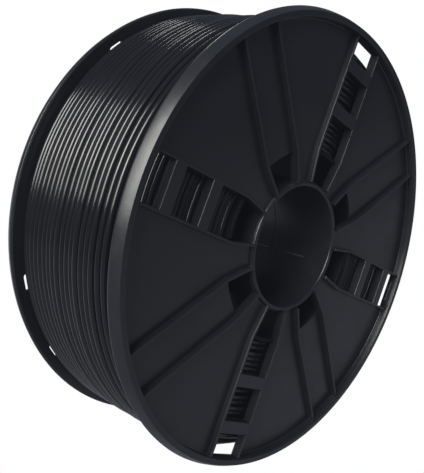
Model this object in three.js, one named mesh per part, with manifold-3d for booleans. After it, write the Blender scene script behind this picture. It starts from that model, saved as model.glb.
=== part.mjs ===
// Filament spool, standing on the rims of its two flanges.
// Millimetres. +Z is up, the spool turns about Y, and the front flange faces -Y.
// The origin is the middle of the bore, which is the centre of the whole spool.
import * as THREE from "three";
import { mergeVertices } from "three/addons/utils/BufferGeometryUtils.js";
import Module from "manifold-3d";

// Overall size
const DISC_R = 100; // crest of each flange's rim, the largest radius
const WIDTH = 74; // front lip face to rear lip face
const HALF = WIDTH / 2;
const GAP = 0.3; // clearance kept between neighbouring pieces
const ROUND_STEPS = 80; // facets of every turned surface
const OVERCUT = 1; // how far a cutting body stands out of what it cuts

// Flange, depths measured inward from its own outer face
const LIP_OUTER_R = 98.2;
const LIP_INNER_R = 95.4;
const LIP_CHAMFER = 0.35;
const FLARE_END = 4; // the rim's side flares from the lip out to its crest at this depth
const FLARE_BULGE = 0.15; // how far the flare stands out of a straight cone at its middle
const CREST_WIDTH = 0.8;
const BACK_CHAMFER = 0.6;
const WEB_FRONT = 3.9; // the web is sunk this far behind the lip face
const WEB_BACK = 5.4;
const RIB_TOP = 1.2; // ribs and crossbars stop this far behind the lip face
const RIB_ROOT = 4.6; // they run this deep, into the web
const RIB_WIDTH = 1.2;

// Hub tube, moulded on the flange; the two tubes meet at mid-width
const BORE_R = 26.9;
const HUB_OUTER_R = 29.1;
const HUB_FRONT = 2.4;
const MOUTH_CHAMFER = 0.9;
const MOUTH_MARGIN = 0.15; // the ribs reach this far over the edge of the hub's end

// Columns: pairs of ribs that run from the rim to the drum, then close in on the hub
const COLUMNS = 8;
const COLUMN_HALF = 9; // half the clear width between the two ribs
const BEND_U = 43; // distance from the axis where the ribs turn towards the hub
const HUB_U = 27.6;
const HUB_HALF = 6.05;
const WEDGE_INNER_R = 29.5; // opening in the web beside the hub
const WEDGE_OUTER_R = 42.2;
const WEDGE_MARGIN = 0.985; // its outer corners stop this fraction short of the ribs
const FRONT_LADDER_ANGLE = 61.5; // degrees from +X, counterclockwise seen from the front
const REAR_LADDER_ANGLE = 27.2;
const BARS = [
  [58.6, 64.2],
  [79.3, 84.8],
];
const LAST_WINDOW_END = 95.6;
const SLOT_HALF = 3.6; // rim slots of the rear flange
const SLOT_INNER = 88;
const EXTRA_SLOT_ANGLE = 185.2;

// Winding drum
const DRUM_INNER_R = 42;
const DRUM_OUTER_R = 43.6;
const LUGS = 4; // lugs at each end, which key the drum into the flange
const LUG_HALF = 8.2;

// Filament
const FILAMENT_R = 1.43;
const TURNS = 20; // crests across the outermost layer
const PACK_R = 96.8; // outside of the pack away from its two ends
const FRONT_DROP = 8.6; // how far it falls off beside the front flange
const FRONT_FALL = 6; // over about this length
const REAR_DROP = 2.6;
const REAR_FALL = 2.5;
const GROOVE = 0.9; // depth between two crests
const PACK_STEPS = 56;
const TAIL_ANGLE = 297.2; // rear rim slot that holds the free end
const TAIL_R = 93.3; // radius at which the free end passes the slot

const wasm = await Module();
wasm.setup();

const rad = (degrees) => (degrees * Math.PI) / 180;

// A closed three.js geometry as a solid that can be joined and cut.
function solid(geometry) {
  const plain = geometry.index ? geometry.toNonIndexed() : geometry.clone();
  plain.deleteAttribute("normal");
  plain.deleteAttribute("uv");
  const merged = mergeVertices(plain, 1e-4);
  return new wasm.Manifold(
    new wasm.Mesh({
      numProp: 3,
      vertProperties: merged.attributes.position.array,
      triVerts: new Uint32Array(merged.index.array),
    }),
  );
}

function geometryOf(body) {
  const mesh = body.getMesh();
  const geometry = new THREE.BufferGeometry();
  geometry.setAttribute("position", new THREE.BufferAttribute(mesh.vertProperties, 3));
  geometry.setIndex(new THREE.BufferAttribute(mesh.triVerts, 1));
  const flat = geometry.toNonIndexed();
  flat.computeVertexNormals();
  return flat;
}

// Turned ring about Y from a closed profile of [radius, y] points.
function turned(profile, steps = ROUND_STEPS) {
  const points = [...profile, profile[0]].map(([r, y]) => new THREE.Vector2(r, y));
  const made = solid(new THREE.LatheGeometry(points, steps, Math.PI / steps));
  if (made.volume() > 0) return made;
  return solid(new THREE.LatheGeometry(points.reverse(), steps, Math.PI / steps));
}

// Flat plate: an outline of [x, z] points, filled between two depths along Y.
function plate(outline, y0, y1) {
  const shape = new THREE.Shape(outline.map(([x, z]) => new THREE.Vector2(x, z)));
  const geometry = new THREE.ExtrudeGeometry(shape, { depth: y1 - y0, bevelEnabled: false });
  geometry.rotateX(Math.PI / 2);
  geometry.translate(0, y1, 0);
  return solid(geometry);
}

// Outline given as [u, v]: u outward along a column, v counterclockwise across it.
function across(angle, outline) {
  const c = Math.cos(rad(angle));
  const s = Math.sin(rad(angle));
  return outline.map(([u, v]) => [u * c - v * s, u * s + v * c]);
}

function block(angle, u0, u1, half, y0, y1) {
  const outline = [
    [u0, -half],
    [u1, -half],
    [u1, half],
    [u0, half],
  ];
  return plate(across(angle, outline), y0, y1);
}

// One rib of a pair; side is +1 or -1. It bends where it reaches the drum.
function rib(angle, side) {
  const slope = Math.atan2(COLUMN_HALF - HUB_HALF, BEND_U - HUB_U);
  const shift = [-RIB_WIDTH * Math.sin(slope), RIB_WIDTH * Math.cos(slope)];
  const bendShift = RIB_WIDTH * Math.tan(slope / 2);
  const end = LIP_INNER_R + 0.6;
  const outline = [
    [HUB_U, HUB_HALF],
    [BEND_U, COLUMN_HALF],
    [end, COLUMN_HALF],
    [end, COLUMN_HALF + RIB_WIDTH],
    [BEND_U - bendShift, COLUMN_HALF + RIB_WIDTH],
    [HUB_U + shift[0], HUB_HALF + shift[1]],
  ].map(([u, v]) => [u, v * side]);
  return plate(across(angle, outline), RIB_TOP, RIB_ROOT);
}

// Opening in the web between the two ribs of a column, from the hub tube to the drum.
// On a ladder column it runs on through the first window.
function wedge(angle, ladder) {
  const halfAt = (u) => HUB_HALF + ((COLUMN_HALF - HUB_HALF) * (u - HUB_U)) / (BEND_U - HUB_U);
  const inner = HUB_U - OVERCUT / 4;
  const outline = [
    [inner, -halfAt(inner)],
    [inner, halfAt(inner)],
  ];
  if (ladder) {
    outline.push([BEND_U, COLUMN_HALF], [BARS[0][0], COLUMN_HALF]);
    outline.push([BARS[0][0], -COLUMN_HALF], [BEND_U, -COLUMN_HALF]);
  } else {
    const spread = Math.asin(COLUMN_HALF / WEDGE_OUTER_R) * WEDGE_MARGIN;
    for (let i = 0; i <= 4; i++) {
      const a = spread * (1 - i / 2);
      outline.push([WEDGE_OUTER_R * Math.cos(a), WEDGE_OUTER_R * Math.sin(a)]);
    }
  }
  const opening = plate(across(angle, outline.reverse()), RIB_TOP - OVERCUT, WEB_BACK + OVERCUT);
  const keepHub = turned([
    [OVERCUT, RIB_TOP - 2 * OVERCUT],
    [WEDGE_INNER_R, RIB_TOP - 2 * OVERCUT],
    [WEDGE_INNER_R, WEB_BACK + 2 * OVERCUT],
    [OVERCUT, WEB_BACK + 2 * OVERCUT],
  ]);
  return opening.subtract(keepHub);
}

// What the ribs leave free in front of the hub tube's end.
function hubMouth() {
  const r = HUB_OUTER_R - MOUTH_MARGIN;
  return turned([
    [OVERCUT, RIB_TOP - OVERCUT],
    [r, RIB_TOP - OVERCUT],
    [r, HUB_FRONT],
    [OVERCUT, HUB_FRONT],
  ]);
}

// A flange with its lip, web, ribs, openings and half of the hub tube.
// Built with the outer face at y = 0 and the inside towards +Y.
// The rear flange has rim slots in place of the outermost windows, and one slot more.
function flange(ladderAngle, extraSlot) {
  let body = turned([
    [BORE_R + MOUTH_CHAMFER, HUB_FRONT],
    [HUB_OUTER_R - LIP_CHAMFER, HUB_FRONT],
    [HUB_OUTER_R, HUB_FRONT + LIP_CHAMFER],
    [HUB_OUTER_R, WEB_FRONT],
    [LIP_INNER_R, WEB_FRONT],
    [LIP_INNER_R, LIP_CHAMFER],
    [LIP_INNER_R + LIP_CHAMFER, 0],
    [LIP_OUTER_R - LIP_CHAMFER, 0],
    [LIP_OUTER_R, LIP_CHAMFER],
    [(LIP_OUTER_R + DISC_R) / 2 + FLARE_BULGE, (LIP_CHAMFER + FLARE_END) / 2],
    [DISC_R, FLARE_END],
    [DISC_R, FLARE_END + CREST_WIDTH],
    [DISC_R - BACK_CHAMFER, WEB_BACK],
    [HUB_OUTER_R, WEB_BACK],
    [HUB_OUTER_R, HALF - GAP / 2],
    [BORE_R, HALF - GAP / 2],
    [BORE_R, HUB_FRONT + MOUTH_CHAMFER * 1.5],
  ]);
  const slotted = extraSlot !== undefined;
  const slots = slotted ? [extraSlot] : [];
  const windows = [[BARS[0][1], BARS[1][0]]];
  if (!slotted) windows.push([BARS[1][1], LAST_WINDOW_END]);
  for (let k = 0; k < COLUMNS; k++) {
    const angle = ladderAngle + (360 / COLUMNS) * k;
    const ladder = k % 2 === 0;
    body = body.add(rib(angle, 1)).add(rib(angle, -1));
    body = body.subtract(wedge(angle, ladder));
    if (!ladder) continue;
    for (const [start, end] of BARS) {
      body = body.add(block(angle, start, end, COLUMN_HALF + RIB_WIDTH / 2, RIB_TOP, RIB_ROOT));
    }
    for (const [start, end] of windows) {
      body = body.subtract(block(angle, start, end, COLUMN_HALF, RIB_TOP - OVERCUT, WEB_BACK + OVERCUT));
    }
    if (slotted) slots.push(angle);
  }
  for (const angle of slots) {
    const [y0, y1] = [WEB_FRONT - OVERCUT, WEB_BACK + OVERCUT];
    body = body.subtract(block(angle, SLOT_INNER, LAST_WINDOW_END, SLOT_HALF, y0, y1));
  }
  return body.subtract(hubMouth());
}

// Drum: a plain tube whose ends stop behind the webs, apart from four lugs at each end
// that stand in the ladder columns, flush with the outside of the web.
function drum() {
  const end = HALF - WEB_FRONT;
  const shoulder = HALF - WEB_BACK - GAP;
  let body = turned([
    [DRUM_INNER_R, -end],
    [DRUM_OUTER_R, -end],
    [DRUM_OUTER_R, end],
    [DRUM_INNER_R, end],
  ]);
  for (const [side, ladderAngle] of [
    [-1, FRONT_LADDER_ANGLE],
    [1, REAR_LADDER_ANGLE],
  ]) {
    const [y0, y1] = side < 0 ? [-end - OVERCUT, -shoulder] : [shoulder, end + OVERCUT];
    const reach = DRUM_OUTER_R + OVERCUT;
    let waste = block(0, -reach, reach, reach, y0, y1);
    for (let k = 0; k < LUGS; k++) {
      const angle = ladderAngle + (360 / LUGS) * k;
      waste = waste.subtract(block(angle, 0, reach, LUG_HALF, y0 - OVERCUT, y1 + OVERCUT));
    }
    body = body.subtract(waste);
  }
  return body;
}

// The wound filament: one pack between the flanges, with a crest for each turn of the
// outermost layer, and the free end tucked through a rim slot of the rear flange.
function winding() {
  const y0 = -(HALF - WEB_BACK - GAP);
  const pitch = (-2 * y0) / TURNS;
  const radiusAt = (y) =>
    PACK_R -
    FRONT_DROP * Math.exp((y0 - y) / FRONT_FALL) -
    REAR_DROP * Math.exp((y0 + y) / REAR_FALL);
  const profile = [[DRUM_OUTER_R + GAP, y0]];
  for (let i = 0; i < TURNS; i++) {
    const y = y0 + pitch * i;
    profile.push([radiusAt(y) - GROOVE, y]);
    profile.push([radiusAt(y + pitch / 2), y + pitch / 2]);
  }
  profile.push([radiusAt(-y0) - GROOVE, -y0]);
  profile.push([DRUM_OUTER_R + GAP, -y0]);
  const pack = turned(profile, PACK_STEPS);

  const inSlot = -y0 - FILAMENT_R;
  const path = [
    [TAIL_ANGLE - 14, TAIL_R - 1, inSlot],
    [TAIL_ANGLE - 9, TAIL_R - 0.3, inSlot],
    [TAIL_ANGLE - 4.5, TAIL_R, inSlot],
    [TAIL_ANGLE - 2.6, TAIL_R, inSlot],
    [TAIL_ANGLE - 1.6, TAIL_R, inSlot + 0.3],
    [TAIL_ANGLE - 0.6, TAIL_R, inSlot + 1.5],
    [TAIL_ANGLE + 0.3, TAIL_R, inSlot + 3],
    [TAIL_ANGLE + 1.2, TAIL_R, inSlot + 4.5],
  ].map(([angle, r, y]) => new THREE.Vector3(r * Math.cos(rad(angle)), y, r * Math.sin(rad(angle))));
  const round = new THREE.Shape();
  round.absarc(0, 0, FILAMENT_R, 0, 2 * Math.PI);
  const tail = new THREE.ExtrudeGeometry(round, {
    extrudePath: new THREE.CatmullRomCurve3(path),
    steps: 18,
    curveSegments: 5,
    bevelEnabled: false,
  });
  return pack.add(solid(tail));
}

const PLASTIC = { color: "#2b2d31", roughness: 0.55, metalness: 0 };
const STRAND = { color: "#232529", roughness: 0.28, metalness: 0 };

const spool = new THREE.Group();
spool.name = "filament_spool";

function piece(name, body, finish) {
  const mesh = new THREE.Mesh(geometryOf(body), new THREE.MeshStandardMaterial(finish));
  mesh.name = name;
  spool.add(mesh);
  return mesh;
}

const front = piece("front_flange", flange(FRONT_LADDER_ANGLE), PLASTIC);
front.position.y = -HALF;
const rear = piece("rear_flange", flange(-REAR_LADDER_ANGLE, -EXTRA_SLOT_ANGLE), PLASTIC);
rear.rotation.x = Math.PI;
rear.position.y = HALF;
piece("winding_drum", drum(), PLASTIC);
piece("filament_winding", winding(), STRAND);

export default spool;
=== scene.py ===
"""Filament spool: two moulded flanges, a drum and black filament wound on it."""
import math

import bmesh
import bpy
import numpy as np
from mathutils import Matrix, Vector


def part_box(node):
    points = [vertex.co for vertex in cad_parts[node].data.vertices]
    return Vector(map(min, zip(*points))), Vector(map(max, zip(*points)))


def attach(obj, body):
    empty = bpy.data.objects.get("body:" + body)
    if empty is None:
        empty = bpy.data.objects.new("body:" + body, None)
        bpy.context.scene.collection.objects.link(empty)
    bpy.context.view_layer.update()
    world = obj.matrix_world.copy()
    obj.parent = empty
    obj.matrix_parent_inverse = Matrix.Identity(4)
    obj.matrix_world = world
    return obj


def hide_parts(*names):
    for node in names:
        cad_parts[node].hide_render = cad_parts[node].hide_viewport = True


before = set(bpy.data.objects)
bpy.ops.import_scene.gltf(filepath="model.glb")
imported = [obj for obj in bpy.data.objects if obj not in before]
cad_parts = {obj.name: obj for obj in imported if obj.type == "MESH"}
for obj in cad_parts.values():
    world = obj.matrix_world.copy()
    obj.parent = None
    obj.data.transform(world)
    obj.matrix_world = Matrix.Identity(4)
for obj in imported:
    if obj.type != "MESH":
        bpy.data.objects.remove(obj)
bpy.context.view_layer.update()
scene = bpy.context.scene

# ---------------------------------------------------------------- sizes
# Lengths are in millimetres and angles in degrees, counterclockwise from +X
# as the spool is seen from its front.

MM = 0.001
HALF = round(-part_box("front_flange")[0][1] / MM, 2)  # half the width of the spool

# Flange, with depths measured inward from its own outer face
CREST_R = 100.0
CREST_DEPTH = 4.2
LIP_OUTER_R = 98.2
LIP_INNER_R = 95.4
LIP_LEAN = 0.4  # how far the lip's inner wall leans outward at its top
WEB_FRONT = 3.9
WEB_BACK = 5.4
BORE_R = 26.9
HUB_OUTER_R = 29.1
HUB_FRONT = 2.4
HUB_END = HALF - 0.12  # the two hub tubes all but meet at mid-width
EDGE = 0.35  # rounding of moulded edges
HAIR = 0.02  # keeps two faces from lying in one plane

# Eight columns run from the hub to the lip, each between two ribs. Every second one
# is a ladder of crossbars with windows between them.
COLUMNS = 8
COLUMN_HALF = 9.0
BEND_U = 43.0  # nearer the hub than this, the two ribs draw together
HUB_U = 27.6
HUB_HALF = 6.05
RIB_TOP = 1.2
RIB_WIDTH = 1.2
RIB_START = 28.5  # within the wall of the hub tube
RIB_SINK = 0.8  # how far a rib runs into the lip
BARS = ((58.6, 64.2), (79.3, 84.8))
WEDGE_INNER_R = 29.4
WEDGE_OUTER_R = 42.2
WEDGE_MARGIN = 0.985  # keeps the ends of the outer arc just inside the ribs
LAST_WINDOW_END = 95.2
FRONT_LADDER = 61.5
REAR_LADDER = 27.2

# Slots along the rear flange's rim
SLOT_INNER = 88.0
SLOT_OUTER = LIP_INNER_R
SLOT_HALF = 3.6
SLOT_CORNER = 1.1
EXTRA_SLOT = 185.2

# Depths at which the cutters of the openings start and end
WEDGE_CUT = -6.0
WINDOW_CUT = WEB_FRONT - 2.5
SLOT_CUT = 0.5
CUTTER_END = WEB_BACK + 3.0

# A low ridge along the wall of the bore
SEAM = -30.0
RIDGE_HALF = 0.6
RIDGE_HEIGHT = 0.5
RIDGE_ROOT = 0.1  # how far its foot is sunk into the wall
FRONT_RIDGE_START = 16.0
REAR_RIDGE_START = 4.0
RIDGE_END = HALF - 0.13

# Drum, whose lugs reach into the openings beside the hub
DRUM_INNER_R = 42.0
DRUM_OUTER_R = 43.6
DRUM_EDGE = 0.25
DRUM_END = HALF - WEB_FRONT
DRUM_SHOULDER = HALF - WEB_BACK - 0.3  # just clear of the web
LUGS = 4
LUG_HALF = 8.2
LUG_CUT_INNER_R = 38.0
LUG_CUT_OUTER_R = 50.0
OVERCUT = 1.0

# Wound filament
STRAND_R = 1.43
TURNS = 20
PACK_HALF = HALF - WEB_BACK - 0.4  # just clear of the webs
PACK_R = 96.8
FRONT_DROP = 8.6  # how much lower the pack is beside a flange ...
FRONT_FALL = 6.0  # ... and over what width it falls
REAR_DROP = 2.6
REAR_FALL = 2.5
WALL_GAP = 0.05  # from the end turns to the side of the pack
LAYER_DEPTH = 2.45
LIFT = 0.16  # how far a turn typically lies above or below its layer
HELD_TURNS = 1.2  # beside the flange, so much of a layer lies straighter
CLIMB_TURNS = 0.2

# The turns against the flanges, a little slimmer, so that a dark line parts neighbours
FLANK_STRAND_R = 1.34
FLANK_GAP = 0.06
FLANK_START = DRUM_OUTER_R + 1.7
FRONT_FLANK_R = 87.2
REAR_FLANK_R = 91.4
FLANK_COLUMNS = 2
COLUMN_STEP = 2.6
ROW_STEP = (2.3, 2.7)
ODD_ROW_RECESS = 0.35
FLANK_LOOSENESS = 0.22
FLANK_SWAY = 0.14

# The core, whose crests show between the turns above it
CORE_ROWS = 21
CORE_INNER_R = DRUM_OUTER_R + 0.3
CORE_HALF = PACK_HALF - 3.6  # leaves room for the turns against the flanges
CORE_DEPTH = 4.9
CORE_CREST = 1.4

# The free end, which leaves through a slot in the rear rim
TAIL_R = 93.3
TAIL_ANGLE = 297.2
LAYER_END = TAIL_ANGLE - 16  # each layer begins and ends here

# How finely curves are divided
RING_STEPS = 256
CORE_STEPS = 160
NOSE_STEPS = 8
EDGE_STEPS = 3
WEDGE_STEPS = 6
LUG_STEPS = 12
CREST_STEPS = 5
FLANK_STEPS = 96
TAIL_POINTS = 60

# Edges sharper than this are shaded as edges
MOULDING_SHARP = 32
STRAND_SHARP = 60
FLAT_FACE_WEIGHT = 60

# ---------------------------------------------------------------- mesh helpers


def link(name, verts, faces):
    """A new object from points in millimetres."""
    mesh = bpy.data.meshes.new(name)
    mesh.from_pydata([tuple(v) for v in np.asarray(verts, float) * MM], [], faces)
    mesh.validate()
    obj = bpy.data.objects.new(name, mesh)
    scene.collection.objects.link(obj)
    return obj


def outward(obj):
    """Every face points out of the solid."""
    bm = bmesh.new()
    bm.from_mesh(obj.data)
    bmesh.ops.recalc_face_normals(bm, faces=bm.faces)
    bm.to_mesh(obj.data)
    bm.free()
    return obj


def arc(radius, start, end, steps):
    """Points on a circle about the origin, between two angles in radians."""
    angles = np.linspace(start, end, steps + 1)
    return [(radius * math.cos(a), radius * math.sin(a)) for a in angles]


def rounded(points, radii, steps=4):
    """A closed outline with each corner replaced by an arc."""
    n = len(points)
    if not hasattr(radii, "__len__"):
        radii = [radii] * n
    out = []
    for i in range(n):
        p = np.array(points[i], float)
        a = np.array(points[i - 1], float) - p
        b = np.array(points[(i + 1) % n], float) - p
        la = np.linalg.norm(a)
        lb = np.linalg.norm(b)
        a /= la
        b /= lb
        angle = math.acos(max(-1.0, min(1.0, float(a @ b))))
        nearly_straight = angle > math.pi - 0.03
        if radii[i] <= 0 or nearly_straight:
            out.append(p)
            continue
        # an arc takes less than half of either side
        reach = min(radii[i] / math.tan(angle / 2), la * 0.49, lb * 0.49)
        r = reach * math.tan(angle / 2)
        mid = (a + b) / np.linalg.norm(a + b)
        centre = p + mid * (r / math.sin(angle / 2))
        p0 = p + a * reach - centre
        p1 = p + b * reach - centre
        t0 = math.atan2(p0[1], p0[0])
        sweep = math.atan2(p1[1], p1[0]) - t0
        sweep = (sweep + math.pi) % (2 * math.pi) - math.pi
        for k in range(steps + 1):
            t = t0 + sweep * k / steps
            out.append(centre + r * np.array([math.cos(t), math.sin(t)]))
    return out


def turned(name, profile, steps=RING_STEPS):
    """Ring about Y from a closed outline of (radius, y) points."""
    n = len(profile)
    verts = []
    for k in range(steps):
        t = 2 * math.pi * k / steps
        for r, y in profile:
            verts.append((r * math.cos(t), y, r * math.sin(t)))
    faces = []
    for k in range(steps):
        k2 = (k + 1) % steps
        for i in range(n):
            j = (i + 1) % n
            faces.append((k * n + i, k * n + j, k2 * n + j, k2 * n + i))
    return outward(link(name, verts, faces))


def inset(outline, d):
    """The outline moved inward by d, mitred at the corners."""
    pts = np.array(outline, float)
    area = 0.5 * np.sum(
        pts[:, 0] * np.roll(pts[:, 1], -1) - np.roll(pts[:, 0], -1) * pts[:, 1]
    )
    side = 1 if area > 0 else -1
    e = np.roll(pts, -1, 0) - pts
    e /= np.linalg.norm(e, axis=1)[:, None]
    nrm = np.stack([-e[:, 1], e[:, 0]], 1) * side
    before = np.roll(nrm, 1, 0)
    mid = nrm + before
    # the lower bound keeps the mitre of a sharp corner short
    scale = 1 / np.maximum(0.3, 1 + (nrm * before).sum(1))
    return pts + mid * scale[:, None] * d


def prism(name, outline, layers):
    """Solid between two depths along Y; each layer is (y, how far its outline is inset)."""
    n = len(outline)
    verts = []
    for y, d in layers:
        verts += [(x, y, z) for x, z in inset(outline, d)]
    faces = []
    for k in range(len(layers) - 1):
        for i in range(n):
            j = (i + 1) % n
            faces.append((k * n + i, k * n + j, (k + 1) * n + j, (k + 1) * n + i))
    faces.append(tuple(range(n)))
    faces.append(tuple(range((len(layers) - 1) * n, len(layers) * n)))
    return outward(link(name, verts, faces))


def boolean(body, tool, operation):
    """Cuts the tool from the body or joins it on, and uses the tool up."""
    mod = body.modifiers.new("cut", "BOOLEAN")
    mod.operation = operation
    mod.solver = "MANIFOLD"
    mod.object = tool
    bpy.context.view_layer.update()
    graph = bpy.context.evaluated_depsgraph_get()
    made = bpy.data.meshes.new_from_object(body.evaluated_get(graph))
    body.modifiers.clear()
    old = body.data
    body.data = made
    bpy.data.meshes.remove(old)
    bpy.data.objects.remove(tool)


def tube(path, radius, sides, closed=False, ref=(0.0, 1.0, 0.0)):
    """Vertices and faces of a round tube along a path of points. The direction ref,
    one for all or one for each point, is never along the path."""
    p = np.asarray(path, float)
    n = len(p)
    if closed:
        tangent = np.roll(p, -1, 0) - np.roll(p, 1, 0)
    else:
        tangent = np.gradient(p, axis=0)
    tangent /= np.linalg.norm(tangent, axis=1)[:, None]
    a = np.cross(tangent, ref)
    a /= np.linalg.norm(a, axis=1)[:, None]
    b = np.cross(tangent, a)
    t = 2 * np.pi * np.arange(sides) / sides
    ring = a[:, None, :] * np.cos(t)[None, :, None] + b[:, None, :] * np.sin(t)[None, :, None]
    verts = (p[:, None, :] + radius * ring).reshape(-1, 3)
    faces = []
    last = n if closed else n - 1
    for i in range(last):
        i2 = (i + 1) % n
        for k in range(sides):
            k2 = (k + 1) % sides
            faces.append((i * sides + k, i * sides + k2, i2 * sides + k2, i2 * sides + k))
    if not closed:
        faces.append(tuple(range(sides)))
        faces.append(tuple(range((n - 1) * sides, n * sides)))
    return verts, faces


def merged(name, parts):
    """One object from several pairs of vertices and faces."""
    verts = []
    faces = []
    for v, f in parts:
        base = sum(len(x) for x in verts)
        verts.append(v)
        faces += [tuple(i + base for i in face) for face in f]
    return outward(link(name, np.concatenate(verts), faces))


def smooth(obj, angle):
    """Smooth shading, broken at edges sharper than the angle."""
    obj.data.shade_smooth()
    obj.data.set_sharp_from_angle(angle=math.radians(angle))
    return obj


def moulded(obj):
    """Shading of a moulding: flat faces stay flat beside their rounded edges."""
    smooth(obj, MOULDING_SHARP)
    mod = obj.modifiers.new("normals", "WEIGHTED_NORMAL")
    mod.keep_sharp = True
    mod.weight = FLAT_FACE_WEIGHT
    return obj


# ---------------------------------------------------------------- flanges


def across(angle, outline):
    """Outline given as (u, v): u outward along a column, v counterclockwise across it."""
    c = math.cos(math.radians(angle))
    s = math.sin(math.radians(angle))
    return [(u * c - v * s, u * s + v * c) for u, v in outline]


def cut(body, angle, outline, start):
    """An opening through the web, from depth start inward."""
    layers = [(start, 0.0), (CUTTER_END, 0.0)]
    boolean(body, prism("tool", across(angle, outline), layers), "DIFFERENCE")


def add(body, angle, outline, layers):
    """Material added to the flange at a column's angle."""
    boolean(body, prism("tool", across(angle, outline), layers), "UNION")


def top_round(top, bottom):
    """Layers of a bar whose top edge is rounded."""
    out = [(bottom, 0.0)]
    for k in range(EDGE_STEPS + 1):
        t = math.pi / 2 * k / EDGE_STEPS
        out.append((top + EDGE * (1 - math.sin(t)), EDGE * (1 - math.cos(t))))
    return out


def column_half(u):
    """Half the width of a column between the hub and the bend of its ribs."""
    return HUB_HALF + (COLUMN_HALF - HUB_HALF) * (u - HUB_U) / (BEND_U - HUB_U)


def rib_outline(side):
    """One rib of a pair, along the outside of its column."""
    slope = math.atan2(COLUMN_HALF - HUB_HALF, BEND_U - HUB_U)
    shift_u = -RIB_WIDTH * math.sin(slope)
    shift_v = RIB_WIDTH * math.cos(slope)
    bend = RIB_WIDTH * math.tan(slope / 2)
    start_v = column_half(RIB_START)
    end = LIP_INNER_R + RIB_SINK
    pts = [
        (RIB_START, start_v),
        (BEND_U, COLUMN_HALF),
        (end, COLUMN_HALF),
        (end, COLUMN_HALF + RIB_WIDTH),
        (BEND_U - bend, COLUMN_HALF + RIB_WIDTH),
        (RIB_START + shift_u, start_v + shift_v),
    ]
    return [(u, v * side) for u, v in pts]


def wedge_outline(ladder):
    """The opening beside the hub. It starts outside the hub tube, which stays whole, and
    reaches the first bar of a ladder or ends in an arc."""
    spread = math.asin(column_half(WEDGE_INNER_R) / WEDGE_INNER_R)
    pts = arc(WEDGE_INNER_R, -spread, spread, WEDGE_STEPS)
    if ladder:
        pts += [(BEND_U, COLUMN_HALF), (BARS[0][0], COLUMN_HALF)]
        pts += [(BARS[0][0], -COLUMN_HALF), (BEND_U, -COLUMN_HALF)]
    else:
        spread = math.asin(COLUMN_HALF / WEDGE_OUTER_R) * WEDGE_MARGIN
        pts += arc(WEDGE_OUTER_R, spread, -spread, WEDGE_STEPS)
    return pts


def box_outline(u0, u1, half):
    return [(u0, -half), (u1, -half), (u1, half), (u0, half)]


def cut_rim_slot(body, angle):
    outline = rounded(box_outline(SLOT_INNER, SLOT_OUTER, SLOT_HALF), SLOT_CORNER)
    cut(body, angle, outline, SLOT_CUT)


def flange_section():
    """Outline of the ring that the flange is cut from, and the rounding of its corners."""
    nose = (HUB_OUTER_R - BORE_R) / 2
    middle = (HUB_OUTER_R + BORE_R) / 2
    points = []
    for k in range(NOSE_STEPS + 1):
        t = math.pi * k / NOSE_STEPS
        points.append((middle - nose * math.cos(t), HUB_FRONT + nose - nose * math.sin(t)))
    radii = [0.0] * len(points)
    corners = [  # radius, depth, rounding
        (HUB_OUTER_R, WEB_FRONT, 0.25),
        (LIP_INNER_R, WEB_FRONT, 0.5),
        (LIP_INNER_R + 0.12, 1.7, 0.2),
        (LIP_INNER_R + LIP_LEAN, 0.0, 0.5),
        (LIP_OUTER_R, 0.0, 0.3),
        ((LIP_OUTER_R + CREST_R) / 2 + 0.15, 2.0, 0.0),
        (CREST_R, CREST_DEPTH, 0.5),
        (CREST_R - 0.1, 5.0, 0.35),
        (CREST_R - 0.8, WEB_BACK, 0.2),
        (HUB_OUTER_R, WEB_BACK, 0.4),
        (HUB_OUTER_R, HUB_END, 0.0),
        (BORE_R + 0.15, HUB_END, 0.0),
        (BORE_R, HALF - 0.25, 0.0),
    ]
    for radius, depth, rounding in corners:
        points.append((radius, depth))
        radii.append(rounding)
    return points, radii


def flange(name, ladder_angle, seam_angle, ridge_start, extra_slot=None):
    """A flange with its outer face at y = 0 and its inside towards +Y. Where an extra
    slot is given, each ladder also ends in a slot instead of a last window."""
    slotted = extra_slot is not None
    body = turned(name, rounded(*flange_section()))

    angles = [ladder_angle + 360 / COLUMNS * k for k in range(COLUMNS)]
    for k, angle in enumerate(angles):
        ladder = k % 2 == 0
        cut(body, angle, wedge_outline(ladder), WEDGE_CUT)
        if not ladder:
            continue
        cut(body, angle, box_outline(BARS[0][1], BARS[1][0], COLUMN_HALF), WINDOW_CUT)
        if slotted:
            cut_rim_slot(body, angle)
        else:
            cut(body, angle, box_outline(BARS[1][1], LAST_WINDOW_END, COLUMN_HALF), WINDOW_CUT)
    if slotted:
        cut_rim_slot(body, extra_slot)

    for k, angle in enumerate(angles):
        for side in (1, -1):
            add(body, angle, rib_outline(side), top_round(RIB_TOP, WEB_BACK - HAIR))
        if k % 2 == 0:
            for u0, u1 in BARS:
                outline = box_outline(u0, u1, COLUMN_HALF + RIB_WIDTH / 2)
                add(body, angle, outline, top_round(RIB_TOP + HAIR, WEB_BACK - 2 * HAIR))

    root = BORE_R + RIDGE_ROOT
    ridge = [(root, -RIDGE_HALF), (BORE_R - RIDGE_HEIGHT, 0.0), (root, RIDGE_HALF)]
    add(body, seam_angle, ridge, [(ridge_start, 0.0), (RIDGE_END, 0.0)])
    return body


# ---------------------------------------------------------------- drum


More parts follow.
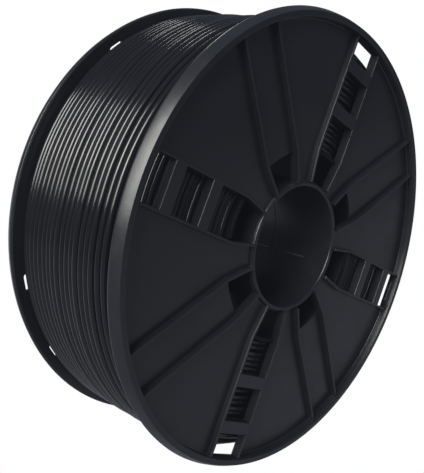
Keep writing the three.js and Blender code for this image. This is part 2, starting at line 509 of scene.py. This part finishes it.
def drum():
    """The wall that the filament is wound on, with lugs left standing at each end."""
    outline = [
        (DRUM_INNER_R, -DRUM_END),
        (DRUM_OUTER_R, -DRUM_END),
        (DRUM_OUTER_R, DRUM_END),
        (DRUM_INNER_R, DRUM_END),
    ]
    body = turned("drum_wall", rounded(outline, DRUM_EDGE, steps=3))
    lug_spread = math.asin(LUG_HALF / DRUM_OUTER_R)
    pitch = 2 * math.pi / LUGS
    for side, ladder in ((-1, FRONT_LADDER), (1, REAR_LADDER)):
        low, high = sorted((side * DRUM_SHOULDER, side * (DRUM_END + OVERCUT)))
        layers = [(low, 0.0), (high, 0.0)]
        for k in range(LUGS):
            lug = math.radians(ladder) + pitch * k
            start = lug + lug_spread
            end = lug + pitch - lug_spread
            gap = arc(LUG_CUT_INNER_R, start, end, LUG_STEPS)
            gap += arc(LUG_CUT_OUTER_R, end, start, LUG_STEPS)
            boolean(body, prism("tool", gap, layers), "DIFFERENCE")
    return body


# ---------------------------------------------------------------- filament


def pack_radius(y):
    """Outside of the wound filament: it falls off beside each flange."""
    front_drop = FRONT_DROP * np.exp(-(PACK_HALF + y) / FRONT_FALL)
    rear_drop = REAR_DROP * np.exp(-(PACK_HALF - y) / REAR_FALL)
    return PACK_R - front_drop - rear_drop


def wander(rng, turns, knots, amount):
    """Smooth random value along a winding, as a function of the turn reached, with
    so many knots in each turn."""
    count = int(turns * knots) + 4
    values = rng.normal(0, amount, count)

    def at(t):
        x = np.asarray(t) * knots
        i = np.clip(np.floor(x).astype(int), 0, count - 2)
        f = x - i
        f = f * f * (3 - 2 * f)
        return values[i] * (1 - f) + values[i + 1] * f

    return at


def layer(rng, turns, depth, hand, looseness, per_turn):
    """Path of one wound layer: a helix lying depth below the outside of the pack. Over
    its last fifth of a turn it climbs to the outside, where the next layer begins."""
    t = np.linspace(0, turns, int(turns * per_turn))
    reach = PACK_HALF - STRAND_R - WALL_GAP
    slow = wander(rng, turns, knots=0.87, amount=looseness)
    fast = wander(rng, turns, knots=3.1, amount=looseness * 0.22)
    lift = wander(rng, turns, knots=1.3, amount=LIFT)
    free = np.minimum(1.0, np.minimum(t, turns - t) / HELD_TURNS)
    y = hand * (-reach + 2 * reach / turns * t + (slow(t) + fast(t)) * free)
    below = depth * np.minimum(1.0, (turns - t) / CLIMB_TURNS)
    r = pack_radius(y) - STRAND_R - below + lift(t) * free
    a = math.radians(LAYER_END) + 2 * np.pi * t
    return np.stack([r * np.cos(a), y, r * np.sin(a)], 1)


def flank(rng, sign, outer_r):
    """The turns that lie against one flange. Every second row lies a little deeper, and
    a second column of turns shows behind the first."""
    parts = []
    a = 2 * np.pi * np.arange(FLANK_STEPS) / FLANK_STEPS
    r = FLANK_START
    row = 0
    while r < outer_r:
        for column in range(FLANK_COLUMNS):
            recess = STRAND_R + FLANK_GAP + (row % 2) * ODD_ROW_RECESS + column * COLUMN_STEP
            recess += abs(rng.normal(0, FLANK_LOOSENESS))
            phase = rng.uniform(0, 2 * math.pi)
            rr = r + FLANK_SWAY * (np.cos(a + phase) + 0.5 * np.cos(2 * a - phase))
            yy = sign * (PACK_HALF - recess - FLANK_SWAY * (1 + np.sin(a + 2 * phase)))
            path = np.stack([rr * np.cos(a), yy, rr * np.sin(a)], 1)
            parts.append(tube(path, FLANK_STRAND_R, sides=20, closed=True))
        r += rng.uniform(*ROW_STEP)
        row += 1
    return parts


def core():
    """The turns deeper in the pack, of which only the crests show."""
    pitch = 2 * CORE_HALF / CORE_ROWS
    profile = [(CORE_INNER_R, -CORE_HALF)]
    for i in range(CORE_ROWS):
        for k in range(CREST_STEPS):
            f = (k + 0.5) / CREST_STEPS
            y = -CORE_HALF + pitch * (i + f)
            bulge = math.sqrt(1 - (2 * f - 1) ** 2) - 1
            profile.append((pack_radius(y) - CORE_DEPTH + CORE_CREST * bulge, y))
    profile.append((CORE_INNER_R, CORE_HALF))
    return turned("filament_core", profile, CORE_STEPS)


def smooth_curve(keys, count):
    """Points on a smooth curve through the keys."""
    s = np.linspace(0, len(keys) - 1, count)
    i = np.clip(s.astype(int), 0, len(keys) - 2)
    f = (s - i)[:, None]
    p0 = keys[np.maximum(i - 1, 0)]
    p1 = keys[i]
    p2 = keys[i + 1]
    p3 = keys[np.minimum(i + 2, len(keys) - 1)]
    return 0.5 * (
        2 * p1
        + (p2 - p0) * f
        + (2 * p0 - 5 * p1 + 4 * p2 - p3) * f**2
        + (3 * p1 - p0 - 3 * p2 + p3) * f**3
    )


def tail():
    """The free end, led through a rim slot of the rear flange."""
    inside = PACK_HALF - STRAND_R
    keys = np.array(
        [  # degrees from the slot, radius, y
            (-16.0, pack_radius(inside) - STRAND_R, inside),
            (-11.0, TAIL_R + 0.4, inside),
            (-6.0, TAIL_R, inside),
            (-2.6, TAIL_R, inside),
            (-1.6, TAIL_R, inside + 0.3),
            (-0.6, TAIL_R, inside + 1.5),
            (0.3, TAIL_R, inside + 3.0),
            (1.2, TAIL_R, inside + 4.5),
        ]
    )
    curve = smooth_curve(keys, TAIL_POINTS)
    a = np.radians(TAIL_ANGLE + curve[:, 0])
    path = np.stack([curve[:, 1] * np.cos(a), curve[:, 2], curve[:, 1] * np.sin(a)], 1)
    radial = path * [1.0, 0.0, 1.0]
    return merged("filament_free_end", [tube(path, STRAND_R, sides=12, ref=radial)])


# ---------------------------------------------------------------- materials


def node_tree(name):
    """A new material with its tree, its shader and the object's own coordinates."""
    mat = bpy.data.materials.new(name)
    mat.use_nodes = True
    tree = mat.node_tree
    tree.nodes.clear()
    out = tree.nodes.new("ShaderNodeOutputMaterial")
    bsdf = tree.nodes.new("ShaderNodeBsdfPrincipled")
    tree.links.new(bsdf.outputs[0], out.inputs[0])
    coord = tree.nodes.new("ShaderNodeTexCoord")
    return mat, tree, bsdf, coord.outputs["Object"]


def noise(tree, coord, scale, detail, rough, distortion=0.0):
    n = tree.nodes.new("ShaderNodeTexNoise")
    n.inputs["Scale"].default_value = scale
    n.inputs["Detail"].default_value = detail
    n.inputs["Roughness"].default_value = rough
    n.inputs["Distortion"].default_value = distortion
    tree.links.new(coord, n.inputs["Vector"])
    return n.outputs["Fac"]


def span(tree, value, low, high, start, end):
    """Goes from low to high while the value goes from start to end."""
    m = tree.nodes.new("ShaderNodeMapRange")
    m.inputs["From Min"].default_value = start
    m.inputs["From Max"].default_value = end
    m.inputs["To Min"].default_value = low
    m.inputs["To Max"].default_value = high
    tree.links.new(value, m.inputs["Value"])
    return m.outputs["Result"]


def math_node(tree, operation, *values):
    m = tree.nodes.new("ShaderNodeMath")
    m.operation = operation
    for i, value in enumerate(values):
        tree.links.new(value, m.inputs[i])
    return m.outputs[0]


def mix_color(tree, fac, a, b):
    m = tree.nodes.new("ShaderNodeMix")
    m.data_type = "RGBA"
    m.inputs[6].default_value = a  # 6 and 7 are the inputs for colours
    m.inputs[7].default_value = b
    tree.links.new(fac, m.inputs[0])
    return m.outputs[2]


def bump(tree, height, strength, distance, normal=None):
    b = tree.nodes.new("ShaderNodeBump")
    b.inputs["Strength"].default_value = strength
    b.inputs["Distance"].default_value = distance
    tree.links.new(height, b.inputs["Height"])
    if normal is not None:
        tree.links.new(normal, b.inputs["Normal"])
    return b.outputs["Normal"]


def plastic(name, dark, light, rough, specular):
    """Black moulded plastic: faint flow marks, fine grain, a little handling wear."""
    mat, tree, bsdf, coord = node_tree(name)
    flow = noise(tree, coord, scale=22.0, detail=3.0, rough=0.55, distortion=0.6)
    grain = noise(tree, coord, scale=2600.0, detail=2.0, rough=0.6)
    smear = noise(tree, coord, scale=75.0, detail=5.0, rough=0.62, distortion=0.4)
    shade = span(tree, flow, low=0, high=1, start=0.35, end=0.65)
    color = mix_color(tree, shade, dark, light)
    tree.links.new(color, bsdf.inputs["Base Color"])
    wear = span(tree, smear, *rough, start=0.35, end=0.68)
    tree.links.new(wear, bsdf.inputs["Roughness"])
    bsdf.inputs["Specular IOR Level"].default_value = specular
    first = bump(tree, flow, strength=0.05, distance=0.0015)
    both = bump(tree, grain, strength=0.10, distance=0.00008, normal=first)
    tree.links.new(both, bsdf.inputs["Normal"])
    return mat


def strand_material(name, dark, light, rough, specular):
    """Extruded filament: glossy, with slight drawn unevenness."""
    mat, tree, bsdf, coord = node_tree(name)
    tone = noise(tree, coord, scale=40.0, detail=3.0, rough=0.5)
    uneven = noise(tree, coord, scale=70.0, detail=3.0, rough=0.5)
    shade = span(tree, tone, low=0, high=1, start=0.35, end=0.65)
    color = mix_color(tree, shade, dark, light)
    tree.links.new(color, bsdf.inputs["Base Color"])
    sheen = span(tree, uneven, *rough, start=0.35, end=0.65)
    tree.links.new(sheen, bsdf.inputs["Roughness"])
    bsdf.inputs["Specular IOR Level"].default_value = specular
    height = bump(tree, uneven, strength=0.03, distance=0.0002)
    tree.links.new(height, bsdf.inputs["Normal"])
    return mat


FLANGE_MAT = plastic(
    "flange_black",
    dark=(0.0086, 0.0096, 0.0124, 1),
    light=(0.0121, 0.0134, 0.0168, 1),
    rough=(0.27, 0.38),
    specular=0.5,
)
# The ridge in the bore is coloured pale as a painted highlight: dimmer on the front flange,
# brighter on the rear.
FRONT_RIDGE_HIGHLIGHT_MAT = plastic(
    "ridge_painted_highlight_front",
    dark=(0.055, 0.055, 0.058, 1),
    light=(0.085, 0.085, 0.090, 1),
    rough=(0.5, 0.7),
    specular=0.3,
)
REAR_RIDGE_HIGHLIGHT_MAT = plastic(
    "ridge_painted_highlight_rear",
    dark=(0.19, 0.19, 0.195, 1),
    light=(0.27, 0.27, 0.28, 1),
    rough=(0.5, 0.7),
    specular=0.3,
)
DRUM_MAT = plastic(
    "drum_black",
    dark=(0.0030, 0.0032, 0.0042, 1),
    light=(0.0044, 0.0046, 0.0058, 1),
    rough=(0.55, 0.66),
    specular=0.18,
)
STRAND_MAT = strand_material(
    "filament_black",
    dark=(0.0038, 0.0041, 0.0050, 1),
    light=(0.0056, 0.0059, 0.0070, 1),
    rough=(0.13, 0.20),
    specular=0.5,
)

# ---------------------------------------------------------------- pieces


def finish_piece(obj, material, node):
    """Gives a piece its material, attaches it to the root body, and hides the node of the frame
    that it stands in for.
    """
    obj.data.materials.clear()
    obj.data.materials.append(material)
    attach(obj, "root")
    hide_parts(node)


def paint_ridge_highlight(obj, material):
    """The ridge in the bore gets a pale colour as a painted highlight; nothing else lies inside
    the bore's radius.
    """
    obj.data.materials.append(material)
    limit = (BORE_R - 0.05) * MM  # just inside the wall
    for face in obj.data.polygons:
        if math.hypot(face.center.x, face.center.z) < limit:
            face.material_index = 1


def add_flanges():
    front = flange("front_flange_moulding", FRONT_LADDER, SEAM, FRONT_RIDGE_START)
    front.data.transform(Matrix.Translation((0, -HALF * MM, 0)))
    moulded(front)
    finish_piece(front, FLANGE_MAT, "front_flange")
    paint_ridge_highlight(front, FRONT_RIDGE_HIGHLIGHT_MAT)

    # the rear flange is turned over about X, which reverses its angles
    rear = flange("rear_flange_moulding", -REAR_LADDER, -SEAM, REAR_RIDGE_START, -EXTRA_SLOT)
    rear.data.transform(Matrix.Translation((0, HALF * MM, 0)) @ Matrix.Rotation(math.pi, 4, "X"))
    moulded(rear)
    finish_piece(rear, FLANGE_MAT, "rear_flange")
    paint_ridge_highlight(rear, REAR_RIDGE_HIGHLIGHT_MAT)


def add_drum():
    finish_piece(moulded(drum()), DRUM_MAT, "winding_drum")


def add_filament():
    rng = np.random.default_rng(7)
    outer = layer(rng, TURNS, depth=0.0, hand=1, looseness=0.32, per_turn=160)
    second = layer(rng, TURNS - 1, depth=LAYER_DEPTH, hand=-1, looseness=0.16, per_turn=132)
    pieces = [
        merged("filament_outer_layer", [tube(outer, STRAND_R, sides=26)]),
        merged("filament_second_layer", [tube(second, STRAND_R, sides=16)]),
        merged("filament_front_turns", flank(rng, -1, FRONT_FLANK_R)),
        merged("filament_rear_turns", flank(rng, 1, REAR_FLANK_R)),
        core(),
        tail(),
    ]
    for obj in pieces:
        smooth(obj, STRAND_SHARP)
        finish_piece(obj, STRAND_MAT, "filament_winding")


add_flanges()
add_drum()
add_filament()

# ---------------------------------------------------------------- stage

FLOOR_Z = -0.1001  # a hair below the rims, in metres
PAPER_HALF = 2500
PAPER_CELLS = 24
PAPER_GLOW = (0.90, 0.95, 1.07, 1)
ROOM_COLOR = (0.82, 0.92, 1.18, 1)
ROOM_LIGHT = 0.135
WARM = (1.0, 1.0, 0.94)
COOL = (0.78, 0.92, 1.25)
BLACK_LEVEL = (-0.0042, -0.0046, -0.0057)


def paper_material():
    """Pure white to the camera. To everything else it glows, the dimmer the farther off."""
    mat, tree, bsdf, coord = node_tree("paper_white")
    tree.nodes.remove(bsdf)
    distance = tree.nodes.new("ShaderNodeVectorMath")
    distance.operation = "LENGTH"
    tree.links.new(coord, distance.inputs[0])
    near = span(tree, distance.outputs["Value"], low=0.288, high=0.085, start=0.15, end=1.3)
    # the paper right behind the spool is brighter: the hub's bore mirrors it
    parted = tree.nodes.new("ShaderNodeSeparateXYZ")
    tree.links.new(coord, parted.inputs[0])
    behind = span(tree, parted.outputs["Y"], low=0.0, high=1.6, start=0.05, end=0.10)
    diagonal = math_node(tree, "ADD", parted.outputs["X"], parted.outputs["Y"])
    right = span(tree, diagonal, low=0.0, high=1.0, start=-0.02, end=0.03)
    extra = math_node(tree, "MULTIPLY", behind, right)
    lit = math_node(tree, "MULTIPLY_ADD", extra, near, near)
    glow = tree.nodes.new("ShaderNodeEmission")
    glow.inputs["Color"].default_value = PAPER_GLOW
    tree.links.new(lit, glow.inputs["Strength"])
    white = tree.nodes.new("ShaderNodeEmission")
    path = tree.nodes.new("ShaderNodeLightPath")
    mix = tree.nodes.new("ShaderNodeMixShader")
    tree.links.new(path.outputs["Is Camera Ray"], mix.inputs[0])
    tree.links.new(glow.outputs[0], mix.inputs[1])
    tree.links.new(white.outputs[0], mix.inputs[2])
    tree.links.new(mix.outputs[0], tree.nodes["Material Output"].inputs[0])
    return mat


def floor():
    """A wide flat sheet of white paper."""
    n = PAPER_CELLS
    verts = []
    for i in range(n + 1):
        for j in range(n + 1):
            x = PAPER_HALF * (2 * i / n - 1)
            y = PAPER_HALF * (2 * j / n - 1)
            verts.append((x, y, FLOOR_Z / MM))
    faces = []
    for i in range(n):
        for j in range(n):
            k = i * (n + 1) + j
            faces.append((k, k + 1, k + n + 2, k + n + 1))
    obj = link("floor", verts, faces)
    obj.data.materials.append(paper_material())


def softbox(name, azimuth, spread, low, high, distance, radiance, tone):
    """Upright rectangular light: it spans spread degrees to each side of azimuth
    and reaches from elevation low to high, seen from the spool's middle."""
    a = math.radians(azimuth)
    bottom = distance * math.tan(math.radians(low))
    top = distance * math.tan(math.radians(high))
    width = 2 * distance * math.tan(math.radians(spread))
    back = Vector((math.sin(a), -math.cos(a), 0))
    light = bpy.data.lights.new(name, "AREA")
    light.shape = "RECTANGLE"
    light.size = width
    light.size_y = top - bottom
    light.energy = radiance * math.pi * width * (top - bottom)
    light.color = tone
    obj = bpy.data.objects.new(name, light)
    scene.collection.objects.link(obj)
    centre = back * distance + Vector((0, 0, (top + bottom) / 2))
    turn = back.to_track_quat("Z", "Y").to_matrix().to_4x4()
    obj.matrix_world = Matrix.Translation(centre) @ turn


def room():
    """Pure white to the camera, and a dim cool light to everything else."""
    world = bpy.data.worlds.new("studio")
    scene.world = world
    world.use_nodes = True
    tree = world.node_tree
    tree.nodes.clear()
    out = tree.nodes.new("ShaderNodeOutputWorld")
    mix = tree.nodes.new("ShaderNodeMixShader")
    dim = tree.nodes.new("ShaderNodeBackground")
    white = tree.nodes.new("ShaderNodeBackground")
    path = tree.nodes.new("ShaderNodeLightPath")
    dim.inputs["Color"].default_value = ROOM_COLOR
    dim.inputs["Strength"].default_value = ROOM_LIGHT
    white.inputs["Color"].default_value = (1, 1, 1, 1)
    white.inputs["Strength"].default_value = 1.0
    tree.links.new(path.outputs["Is Camera Ray"], mix.inputs[0])
    tree.links.new(dim.outputs[0], mix.inputs[1])
    tree.links.new(white.outputs[0], mix.inputs[2])
    tree.links.new(mix.outputs[0], out.inputs[0])


def display():
    """Plain display colours, with the blacks lifted a little."""
    scene.view_settings.view_transform = "Standard"
    scene.view_settings.use_curve_mapping = True
    curve = scene.view_settings.curve_mapping
    curve.black_level = BLACK_LEVEL
    curve.update()


floor()
softbox("key_left", -78, 21, low=31, high=60, distance=1.4, radiance=13.0, tone=WARM)
softbox("key_left_low", -78, 21, low=18, high=31, distance=1.4, radiance=8.0, tone=WARM)
softbox("right_rear", 147, 5, low=11, high=32, distance=1.4, radiance=3.2, tone=WARM)
softbox("fill_front_left", -45, 30, low=35, high=62, distance=1.8, radiance=0.3, tone=COOL)
room()
display()

# ---------------------------------------------------------------- camera

CAMERA_AT = Vector((-221.42, -203.64, 92.43)) * MM
CAMERA_AZIMUTH = math.radians(-44.998)
CAMERA_ELEVATION = math.radians(17.567)
CAMERA_LENS = 50.77
CAMERA_SENSOR = 36.0


def add_camera():
    """The camera looks along its azimuth and down by its elevation, without roll."""
    data = bpy.data.cameras.new("camera")
    data.sensor_width = CAMERA_SENSOR
    data.sensor_fit = "AUTO"
    data.lens = CAMERA_LENS
    data.clip_start = 0.01
    data.clip_end = 20
    camera = bpy.data.objects.new("camera", data)
    scene.collection.objects.link(camera)
    back = Vector(
        (
            math.sin(CAMERA_AZIMUTH) * math.cos(CAMERA_ELEVATION),
            -math.cos(CAMERA_AZIMUTH) * math.cos(CAMERA_ELEVATION),
            math.sin(CAMERA_ELEVATION),
        )
    )
    right = Vector((0, 0, 1)).cross(back).normalized()
    up = back.cross(right)
    turn = Matrix((right, up, back)).transposed().to_4x4()
    camera.matrix_world = Matrix.Translation(CAMERA_AT) @ turn
    scene.camera = camera


add_camera()
